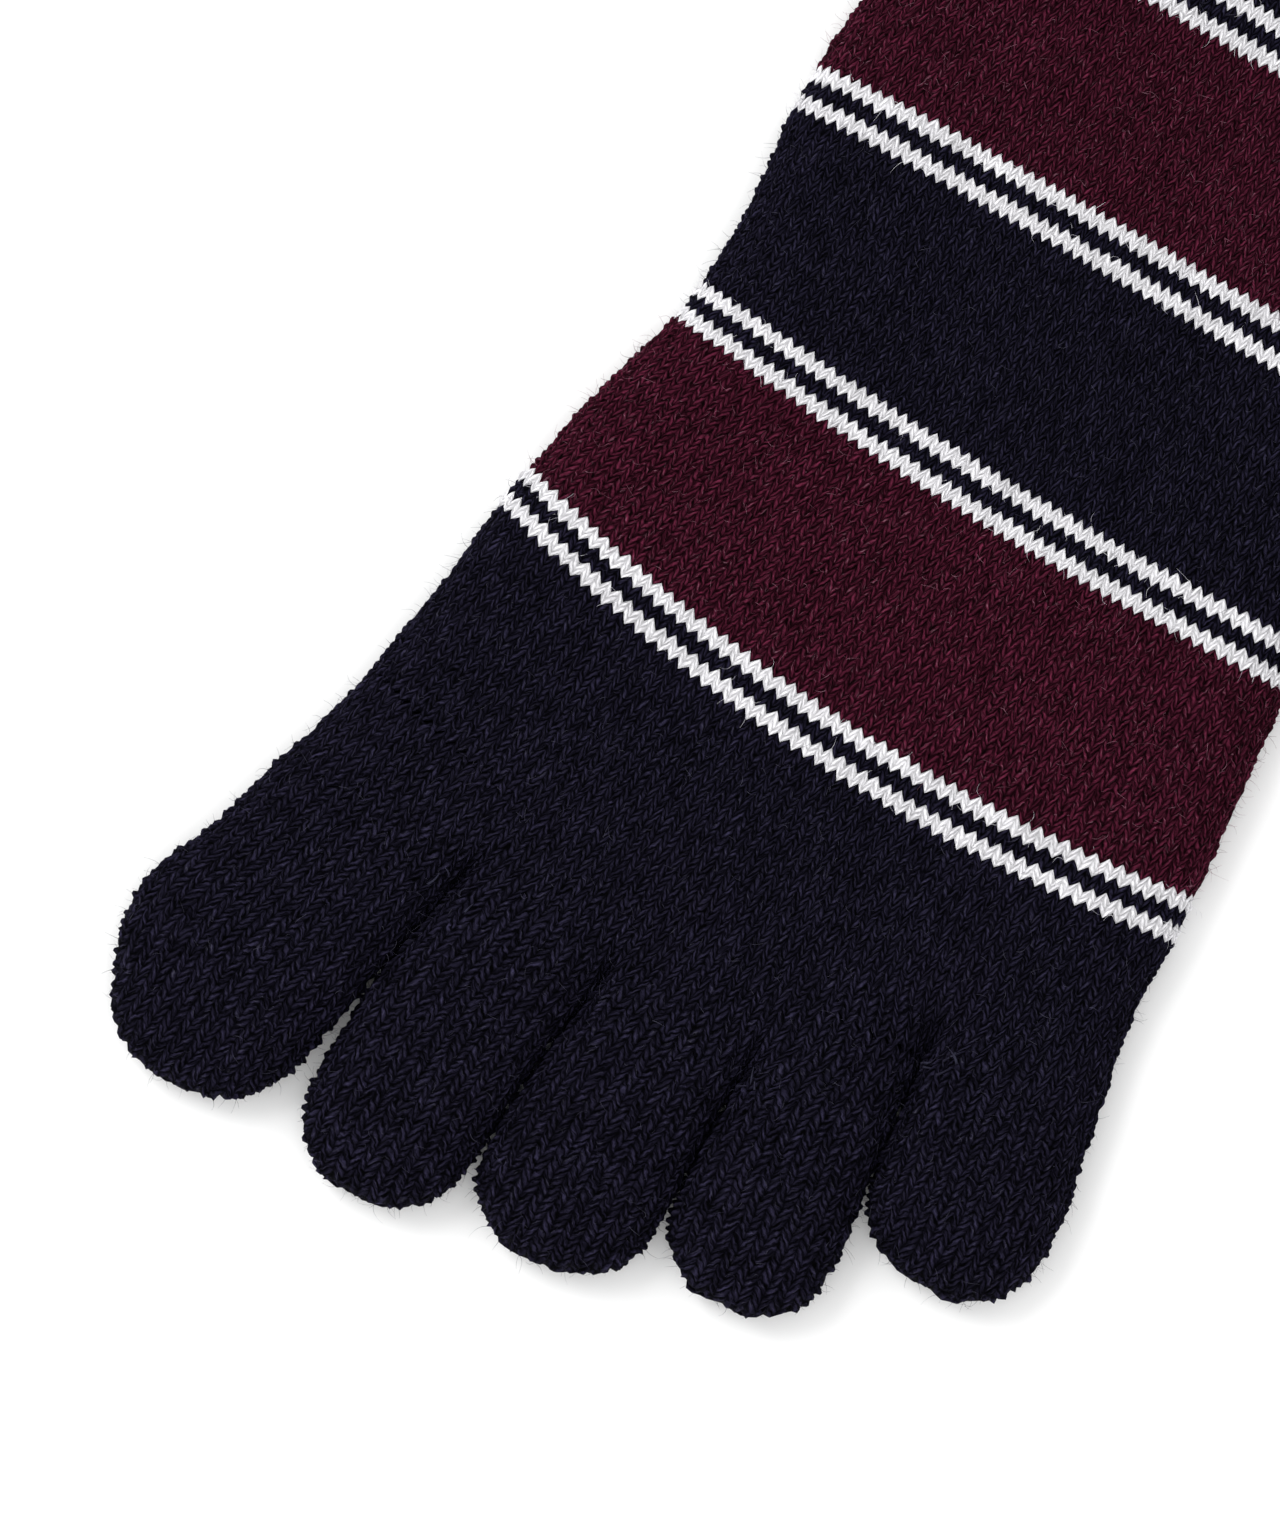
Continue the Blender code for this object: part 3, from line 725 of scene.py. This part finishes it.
def knit_run(name, per_wale=WALE_COLUMNS, per_course=COURSE_ROWS, pair=0.0):
    """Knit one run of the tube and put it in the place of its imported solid."""
    knit = bpy.context.scene.toe_sock_knit
    length, courses, yarn = RUNS[name]
    start, before = RUN_STARTS[name], COURSES_BEFORE[name]
    first_wale, last_wale, left, right, crotches = 0, 60, 0.0, 1.0, []
    if name == "forefoot_front":
        last_wale, right = 47, SHARE_BORDERS[4]
        crotches = [(border, 0.0) for border in SHARE_BORDERS[1:4]]
    if name == "forefoot":
        crotches = [(SHARE_BORDERS[4], start)]
    ring = Round(first_wale, last_wale, UNDER_LOSS, per_wale)
    rng = np.random.default_rng([bpy.context.scene.toe_sock_yarns.seed, before])
    v = np.linspace(0.0, courses, courses * per_course + 1)
    reach = np.linspace(start, start + length + knit.joint, len(v))
    rib = 1.0 if name == "cuff" else 0.0
    outer = tube_points(ring, reach, knit.slant, left, right, crotches)
    numbers = point_numbers(ring, len(v))
    pressed = relieved(knit, outer, numbers, ring, v, rib, pair, TUBE_ROUGHNESS, rng)
    steps = max(2, round(courses / LINING_COURSES) + 1)
    lining_base = np.linspace(reach[0], reach[-1], steps)
    lining_numbers = point_numbers(ring, steps)
    lining = lined(knit, tube_points(ring, lining_base, knit.slant, left, right, crotches), lining_numbers)
    shift = origin_shift()
    piece = knit_wall(
        f"{name}_knit", yarn_material(yarn),
        (pressed + shift, numbers, ring.spot, v + before),
        (lining + shift, lining_numbers, ring.spot, np.linspace(0.0, courses, steps) + before))
    finish_piece(piece, name)
    return piece


def knit_toe(name, per_wale=WALE_COLUMNS, per_course=COURSE_ROWS):
    """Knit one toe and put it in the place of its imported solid."""
    knit = bpy.context.scene.toe_sock_knit
    number = list(TOES).index(name)
    length, _, _, _, nose, _, _, courses = TOES[name]
    ring = Round(WALE_BORDERS[number], WALE_BORDERS[number + 1], TOE_UNDER_LOSS, per_wale)
    rng = np.random.default_rng([bpy.context.scene.toe_sock_yarns.seed, 1000 + number])
    v = np.append(TIP_ROWS, np.linspace(1.0, courses, (courses - 1) * per_course + 1))
    base = (v / courses - 1.0) * length
    base[-1] += knit.joint
    outer, cut, at_tip = toe_points(name, number, ring, base, knit.slant)
    numbers = point_numbers(ring, len(v), cut, at_tip)
    pressed = relieved(knit, outer, numbers, ring, v, 0.0, 0.0, 1.0, rng)
    body = np.linspace(base[-1], -length * (1.0 - nose), 4, endpoint=False)
    into_nose = -length * (1.0 - nose + nose * np.array([0.0, 0.4, 0.7, 0.86]))
    lining_base = np.concatenate([body, into_nose])[::-1]
    inner, inner_cut, inner_tip = toe_points(name, number, ring, lining_base, knit.slant)
    lining_numbers = point_numbers(ring, len(lining_base), inner_cut, inner_tip)
    lining = lined(knit, inner, lining_numbers)
    tip = outer[0, 0] + np.array([0.0, 1.5 * knit.thickness, 0.0])
    shift = origin_shift()
    before = 100 * (number + 1)
    piece = knit_wall(
        f"{name}_knit", yarn_material("navy"),
        (pressed + shift, numbers, ring.spot, v + before),
        (lining + shift, lining_numbers, ring.spot, (lining_base / length + 1.0) * courses + before),
        tip=tip + shift)
    finish_piece(piece, name)
    return piece


class Number:
    """A number that changes over a surface. It wraps a socket, and arithmetic on it adds
    Math nodes."""

    def __init__(self, maker, socket):
        self.maker, self.socket = maker, socket

    def math(self, operation, *values):
        """A Math node on this number and the values."""
        return Number(self.maker, self.maker.node(
            "ShaderNodeMath", {"operation": operation}, dict(enumerate([self, *values])))[0])

    def __add__(self, other):
        return self.math("ADD", other)

    __radd__ = __add__

    def __mul__(self, other):
        return self.math("MULTIPLY", other)

    __rmul__ = __mul__

    def __sub__(self, other):
        return self.math("SUBTRACT", other)

    def __rsub__(self, other):
        return (self * -1.0) + other

    def __truediv__(self, other):
        return self.math("DIVIDE", other)

    def __pow__(self, power):
        return self.math("POWER", power)

    def clamped(self, low, high):
        """Ease from 0 where this number is low to 1 where it is high."""
        node = self.maker.node(
            "ShaderNodeMapRange", {"interpolation_type": "SMOOTHSTEP"},
            {"Value": self, "From Min": low, "From Max": high})
        return Number(self.maker, node[0])


class Maker:
    """Adds the nodes of one material."""

    def __init__(self, name):
        self.material = bpy.data.materials.new(name)
        self.material.use_nodes = True
        self.tree = self.material.node_tree
        self.shader = self.tree.nodes["Principled BSDF"]

    def node(self, kind, settings, values):
        """Add a node of a type, with its settings and then its sockets' values or links.
        Returns its outputs."""
        node = self.tree.nodes.new(kind)
        for name, value in settings.items():
            setattr(node, name, value)
        for name, value in values.items():
            self.put(node.inputs[name], value)
        return node.outputs

    def put(self, socket, value):
        """Set a socket, or link it."""
        value = value.socket if isinstance(value, Number) else value
        if isinstance(value, bpy.types.NodeSocket):
            self.tree.links.new(value, socket)
        else:
            socket.default_value = value

    def number(self, socket):
        """The socket as a number for arithmetic."""
        return Number(self, socket)

    def mixed(self, share, first, second):
        """Colour between two others."""
        return self.node(
            "ShaderNodeMix", {"data_type": "RGBA"}, {0: share, 6: first, 7: second})[2]

    def tinted(self, colour, strength):
        """Colour times a number."""
        return self.node(
            "ShaderNodeVectorMath", {"operation": "SCALE"}, {"Vector": colour, "Scale": strength})[0]

    def noise(self, vector, scale, detail=2.0):
        """Soft noise from 0 to 1."""
        return self.number(self.node(
            "ShaderNodeTexNoise", {}, {"Vector": vector, "Scale": scale, "Detail": detail})[0])

    def vector(self, x, y, z=0.0):
        """Vector from three numbers."""
        return self.node("ShaderNodeCombineXYZ", {}, {0: x, 1: y, 2: z})[0]


# Each yarn: how strongly its tone falls in the painted shade between the stitches, varies from leg to leg and
# follows its fibres; how many of its fibres are pale; roughness and gloss.
YARN_LOOKS = {
    # gap_shade, legs, fibres, pale, roughness, gloss
    "navy": (0.07, 0.70, 1.1, 0.40, 0.90, 0.02),
    "burgundy": (0.10, 0.60, 1.0, 0.50, 0.90, 0.02),
    "white": (0.55, 0.10, 0.25, 0.35, 0.90, 0.10),
}


def yarn_material(name):
    """Wool yarn in stockinette. The UV map counts wales and courses along the legs of the stitches: the back of
    each leg is painted bright as a highlight and the cloth between the stitches is painted dark as shade, and its
    fibres are noise drawn out along the leg."""
    made = bpy.data.materials.get(f"{name}_wool")
    if made:
        return made
    knit, yarns = bpy.context.scene.toe_sock_knit, bpy.context.scene.toe_sock_yarns
    gap_shade, legs, fibres, pale, roughness, gloss = YARN_LOOKS[name]
    colour, fibre_colour = (*getattr(yarns, name), 1.0), (*getattr(yarns, f"{name}_fibre"), 1.0)
    maker = Maker(f"{name}_wool")
    uv = maker.node("ShaderNodeUVMap", {"uv_map": UV_NAME}, {})[0]
    place = maker.node("ShaderNodeSeparateXYZ", {}, {0: uv})
    u, v = maker.number(place[0]), maker.number(place[1])
    spots = maker.node("ShaderNodeTexCoord", {}, {})["Object"]

    wander = maker.noise(spots, 420.0, 1.0) - 0.5
    tremble = maker.noise(spots, 1500.0, 1.0) - 0.5
    u = u + wander * 0.40
    v = v + wander * 0.8 + tremble * 0.8
    border = (u.math("FRACT") * 2.0 - 1.0).math("ABSOLUTE")
    leg = (u * (2.0 * math.pi)).math("SINE").math("ABSOLUTE") ** 0.7
    back = ((v - (border - 0.5) * knit.steepness) * math.pi).math("SINE").math("ABSOLUTE") ** 1.5
    body = leg * back
    streaks = maker.noise(maker.vector(u * 1.6 + wander * 0.5, v * 7.0), 1.0, 3.0)
    strands = maker.noise(maker.vector(u * 3.4 + wander, v * 2.8, 3.1), 1.0, 2.0)
    long_streaks = maker.noise(maker.vector(u * 2.4, v * 5.0 + wander * 2.0, 7.3), 1.0, 2.0)
    ply = ((u * 7.0 + v * 1.5 + wander * 0.8) * (2.0 * math.pi)).math("SINE")
    dice = maker.number(maker.node("ShaderNodeTexWhiteNoise", {}, {
        "Vector": maker.vector((u * 2.0).math("FLOOR"), v.math("FLOOR"))})[0])
    heather = maker.noise(spots, 260.0, 3.0)

    # Painted shade and highlight: the tone is darkest between the stitches and brightest on the backs of the
    # legs, as light falls on them; dice, streaks, strands and heather vary it at random.
    tone = (body * (1.0 - gap_shade) + gap_shade) * (dice * legs + (1.0 - legs / 2))
    tone = tone * ((streaks - 0.5) * (2.0 * fibres) + 1.0).math("MAXIMUM", 0.15)
    tone = tone * ((strands - 0.5) * (4.4 * fibres) + 1.0).math("MAXIMUM", 0.12)
    tone = tone * (heather * 0.5 + 0.75)
    # Pale fibres of the yarn, shown only on the backs of the legs, where the tone is painted bright.
    shine = long_streaks.clamped(0.60, 0.78) * body * pale
    base = maker.mixed(shine, maker.tinted(colour[:3], tone), fibre_colour)
    height = body * 0.45 + ply * 0.07 + streaks * 0.4 + strands * 0.9
    bump = maker.node("ShaderNodeBump", {}, {"Height": height, "Strength": 0.9, "Distance": 0.00022})
    maker.put(maker.shader.inputs["Base Color"], base)
    maker.put(maker.shader.inputs["Normal"], bump[0])
    for socket, value in {
        "Roughness": roughness, "Metallic": 0.0, "Specular IOR Level": gloss,
    }.items():
        maker.put(maker.shader.inputs[socket], value)
    return maker.material


def fibre_material(name, pale=None):
    """Loose fibre of one yarn: its colour with a slow change along the sock."""
    yarns = bpy.context.scene.toe_sock_yarns
    maker = Maker(f"{name}_loose_fibre")
    spots = maker.node("ShaderNodeTexCoord", {}, {})["Object"]
    share = maker.noise(spots, 700.0).clamped(0.35, 0.70)
    colour, pale = (*getattr(yarns, name), 1.0), (*(pale or getattr(yarns, f"{name}_fibre")), 1.0)
    maker.put(maker.shader.inputs["Base Color"], maker.mixed(share, colour, pale))
    maker.put(maker.shader.inputs["Roughness"], 0.7)
    maker.put(maker.shader.inputs["Specular IOR Level"], 0.1)
    return maker.material


def mesh_arrays(piece):
    """Points and normals of a piece's outer face, without what it rests on."""
    mesh = piece.data
    points = np.empty(3 * len(mesh.vertices), dtype=np.float32)
    normals = np.empty_like(points)
    mesh.vertices.foreach_get("co", points)
    mesh.vertices.foreach_get("normal", normals)
    outer = piece["outer_points"]
    points, normals = points.reshape(-1, 3)[:outer], normals.reshape(-1, 3)[:outer]
    clear = points[:, 2] > 0.0006
    return points[clear].astype(float), normals[clear].astype(float)


FIBRE_RINGS = 5
FIBRE_SIDES = 3
LEG_MIDDLE = (0.25, 0.5)


def loose_fibres(name, material, points, directions, lengths, radius, rng):
    """Thin tapered fibres, each a closed three-sided tube along a parabola: it leaves its
    point in a direction and curls to one side with the square of the way along it."""
    count = len(points)
    way = np.linspace(0.0, 1.0, FIBRE_RINGS)[None, :, None]
    side = np.cross(directions, rng.normal(size=(count, 3)))
    side /= np.linalg.norm(side, axis=1, keepdims=True)
    other = np.cross(directions, side)
    curl = rng.uniform(-0.9, 0.9, (count, 1, 1))
    second = rng.uniform(-0.25, 0.25, (count, 1, 1))
    reach = lengths[:, None, None]
    line = points[:, None] + reach * (
        directions[:, None] * way + side[:, None] * curl * way ** 2
        + other[:, None] * second * np.sin(way * math.pi))
    line[..., 2] = np.maximum(line[..., 2], radius)
    turn = np.arange(FIBRE_SIDES) / FIBRE_SIDES * 2.0 * math.pi
    thick = radius * (1.0 - 0.65 * way[..., None])
    ring = thick * (
        side[:, None, None] * np.cos(turn)[None, None, :, None]
        + other[:, None, None] * np.sin(turn)[None, None, :, None])
    spots = (line[:, :, None] + ring).reshape(-1, 3)
    around = np.arange(FIBRE_SIDES)
    after = (around + 1) % FIBRE_SIDES
    faces = []
    for row in range(FIBRE_RINGS - 1):
        a, b = row * FIBRE_SIDES + around, row * FIBRE_SIDES + after
        c, d = b + FIBRE_SIDES, a + FIBRE_SIDES
        faces += [np.stack([a, b, c], axis=-1), np.stack([a, c, d], axis=-1)]
    last = (FIBRE_RINGS - 1) * FIBRE_SIDES
    faces += [np.array([[2, 1, 0]]), last + np.array([[0, 1, 2]])]
    per_fibre = FIBRE_RINGS * FIBRE_SIDES
    triangles = (np.vstack(faces)[None] + per_fibre * np.arange(count)[:, None, None]).reshape(-1, 3)
    return new_piece(name, spots, triangles, np.tile(LEG_MIDDLE, (triangles.size, 1)), material)


# Where two toes part: the spot in the foot's own frame, and the lean of the gap between
# them in degrees towards the big toe's side.
CROTCH_SPOTS = (
    # x, y, lean
    (-0.0300, 0.0022, 14.0),
    (-0.0090, 0.0016, 8.0),
    (0.0108, 0.0006, -2.0),
    (0.0290, 0.0134, -10.0),
)
TUCKS = 8


class KnitToes(bpy.types.Operator):
    """Knit the five toes"""
    bl_idname = "toe_sock.knit_toes"
    bl_label = "Knit toes"

    def execute(self, context):
        for name in TOES:
            knit_toe(name)
        return {"FINISHED"}


class KnitForefoot(bpy.types.Operator):
    """Knit the two plain runs between the toes and the first stripe"""
    bl_idname = "toe_sock.knit_forefoot"
    bl_label = "Knit forefoot"

    def execute(self, context):
        for name in ("forefoot_front", "forefoot"):
            knit_run(name)
        return {"FINISHED"}


class KnitStripes(bpy.types.Operator):
    """Knit the white and navy lines of the four narrow stripes, finer than the rest"""
    bl_idname = "toe_sock.knit_stripes"
    bl_label = "Knit narrow stripes"

    def execute(self, context):
        for number in range(1, 5):
            for name in stripe(number):
                knit_run(name, per_wale=6 if "white" in name else 4, per_course=4)
        return {"FINISHED"}


class KnitBands(bpy.types.Operator):
    """Knit the two burgundy bands and the navy band between them"""
    bl_idname = "toe_sock.knit_bands"
    bl_label = "Knit wide bands"

    def execute(self, context):
        for name in ("burgundy_band_1", "navy_band", "burgundy_band_2"):
            knit_run(name, pair=0.5)
        return {"FINISHED"}


class KnitLeg(bpy.types.Operator):
    """Knit the heel, the leg and the ribbed cuff"""
    bl_idname = "toe_sock.knit_leg"
    bl_label = "Knit heel, leg and cuff"

    def execute(self, context):
        for name in ("heel", "leg", "cuff"):
            knit_run(name, per_wale=3, per_course=2)
        return {"FINISHED"}


class AddFibres(bpy.types.Operator):
    """Add the loose fibres that stand off the wool, most of them along its outline"""
    bl_idname = "toe_sock.add_fibres"
    bl_label = "Add loose fibres"

    def execute(self, context):
        yarns = context.scene.toe_sock_yarns
        rng = np.random.default_rng(yarns.seed)
        counts = {"navy": 3600, "burgundy": 1100, "white": 620}
        for yarn, count in counts.items():
            found = [
                mesh_arrays(piece) for piece in context.scene.objects
                if "outer_points" in piece and piece.data.materials[0].name == f"{yarn}_wool"]
            points = np.vstack([points for points, _ in found])
            normals = np.vstack([normals for _, normals in found])
            weight = 0.16 + (1.0 - np.abs(normals[:, 2])) ** 2
            chosen = rng.choice(len(points), count, replace=False, p=weight / weight.sum())
            points, normals = points[chosen], normals[chosen]
            outward = normals + rng.normal(scale=0.65, size=normals.shape)
            outward /= np.linalg.norm(outward, axis=1, keepdims=True)
            lengths = yarns.fibre_length * rng.uniform(0.45, 1.5, count)
            start = points - normals * 2 * yarns.fibre_radius
            piece = loose_fibres(
                f"{yarn}_fuzz", fibre_material(yarn), start, outward, lengths,
                yarns.fibre_radius, rng)
            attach(piece, "root")
        return {"FINISHED"}


class TuckCrotches(bpy.types.Operator):
    """Tuck short ends of navy yarn into the crotches between the toes"""
    bl_idname = "toe_sock.tuck_crotches"
    bl_label = "Tuck crotches"

    def execute(self, context):
        yarns = context.scene.toe_sock_yarns
        rng = np.random.default_rng(yarns.seed + 1)
        knit = np.vstack([
            mesh_arrays(context.scene.objects[f"{node}_knit"])[0]
            for node in ("forefoot_front", "forefoot")])
        knit = knit[knit[:, 2] > FOLD_HEIGHT]
        middles = np.array([(x, y) for x, y, _ in CROTCH_SPOTS]) + origin_shift()[:2]
        spread = rng.normal(scale=(0.0018, 0.0012), size=(len(middles), TUCKS, 2))
        spots = (middles[:, None] + spread).reshape(-1, 2)
        nearest = np.linalg.norm(knit[None, :, :2] - spots[:, None], axis=-1).argmin(axis=1)
        starts = knit[nearest] + np.array([0.0, 0.0, 0.5 * yarns.tuck_radius])
        leans = np.repeat([lean for _, _, lean in CROTCH_SPOTS], TUCKS)
        turns = np.radians(90.0 + leans + rng.uniform(-70.0, 70.0, len(starts)))
        climbs = rng.uniform(-0.12, 0.10, len(starts))
        ways = np.column_stack([np.cos(turns), np.sin(turns), climbs])
        lengths = rng.uniform(0.8, 1.3, len(starts)) * yarns.tuck_length
        piece = loose_fibres(
            "crotch_tucks", fibre_material("navy", tuple(yarns.tuck)), starts - ways * lengths[:, None] / 2, ways,
            lengths, yarns.tuck_radius, rng)
        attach(piece, "root")
        return {"FINISHED"}


class SetStage(bpy.types.Operator):
    """Set the pale floor, the soft lights and the camera"""
    bl_idname = "toe_sock.set_stage"
    bl_label = "Set stage"

    def execute(self, context):
        stage = context.scene.toe_sock_stage
        half = stage.floor_size / 2
        mesh = bpy.data.meshes.new("floor")
        corners = [(-half, -half, 0.0), (half, -half, 0.0), (half, half, 0.0), (-half, half, 0.0)]
        mesh.from_pydata(corners, [], [(0, 1, 2, 3)])
        floor = bpy.data.objects.new("floor", mesh)
        context.scene.collection.objects.link(floor)
        maker = Maker("floor_paper")
        maker.put(maker.shader.inputs["Base Color"], (*stage.floor_colour, 1.0))
        maker.put(maker.shader.inputs["Roughness"], 0.9)
        maker.put(maker.shader.inputs["Specular IOR Level"], 0.1)
        mesh.materials.append(maker.material)

        world = bpy.data.worlds.new("studio")
        world.use_nodes = True
        background = world.node_tree.nodes["Background"]
        background.inputs["Color"].default_value = (1.0, 1.0, 1.0, 1.0)
        background.inputs["Strength"].default_value = stage.sky_strength
        context.scene.world = world
        centre = np.array([*stage.view_centre, 0.0])
        right = np.array([math.cos(stage.view_turn), math.sin(stage.view_turn), 0.0])
        up = np.array([-math.sin(stage.view_turn), math.cos(stage.view_turn), 0.0])
        place = centre - 0.55 * right + 0.55 * up + np.array([0.0, 0.0, 0.75])
        light = bpy.data.lights.new("key", "AREA")
        light.energy, light.shape, light.size = stage.key_strength, "SQUARE", 0.5
        key = bpy.data.objects.new("key", light)
        context.scene.collection.objects.link(key)
        aim = centre - place
        key.location = place
        key.rotation_euler = (
            math.atan2(math.hypot(aim[0], aim[1]), -aim[2]), 0.0, math.atan2(aim[1], aim[0]) - math.pi / 2)

        camera = bpy.data.cameras.new("camera")
        camera.lens, camera.sensor_width = stage.lens, 36.0
        camera.clip_start, camera.clip_end = 0.01, 20.0
        eye = bpy.data.objects.new("camera", camera)
        context.scene.collection.objects.link(eye)
        distance = stage.view_height * stage.lens / camera.sensor_width
        eye.location = (centre[0], centre[1], distance + FOLD_HEIGHT)
        eye.rotation_euler = (0.0, 0.0, stage.view_turn)
        context.scene.camera = eye
        context.scene.view_settings.view_transform = "Standard"
        return {"FINISHED"}


STEPS = (
    KnitToes, KnitForefoot, KnitStripes, KnitBands, KnitLeg, AddFibres, TuckCrotches, SetStage)


class ToeSockPanel(bpy.types.Panel):
    """The sock's steps and sizes in the sidebar"""
    bl_idname = "VIEW3D_PT_toe_sock"
    bl_label = "Toe sock"
    bl_space_type = "VIEW_3D"
    bl_region_type = "UI"
    bl_category = "Toe sock"

    def draw(self, context):
        for step in STEPS:
            self.layout.operator(step.bl_idname)
        for group in (
            context.scene.toe_sock_knit, context.scene.toe_sock_yarns, context.scene.toe_sock_stage,
        ):
            box = self.layout.box()
            for name in group.__annotations__:
                box.prop(group, name)


CLASSES = (ToeSockKnit, ToeSockYarns, ToeSockStage, *STEPS, ToeSockPanel)


def register():
    for made in CLASSES:
        bpy.utils.register_class(made)
    bpy.types.Scene.toe_sock_knit = PointerProperty(type=ToeSockKnit)
    bpy.types.Scene.toe_sock_yarns = PointerProperty(type=ToeSockYarns)
    bpy.types.Scene.toe_sock_stage = PointerProperty(type=ToeSockStage)


def unregister():
    del bpy.types.Scene.toe_sock_knit
    del bpy.types.Scene.toe_sock_yarns
    del bpy.types.Scene.toe_sock_stage
    for made in reversed(CLASSES):
        bpy.utils.unregister_class(made)


def main():
    """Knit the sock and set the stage."""
    register()
    bpy.ops.toe_sock.knit_toes()
    bpy.ops.toe_sock.knit_forefoot()
    bpy.ops.toe_sock.knit_stripes()
    bpy.ops.toe_sock.knit_bands()
    bpy.ops.toe_sock.knit_leg()
    bpy.ops.toe_sock.add_fibres()
    bpy.ops.toe_sock.tuck_crotches()
    bpy.ops.toe_sock.set_stage()


if __name__ == "__main__":
    main()
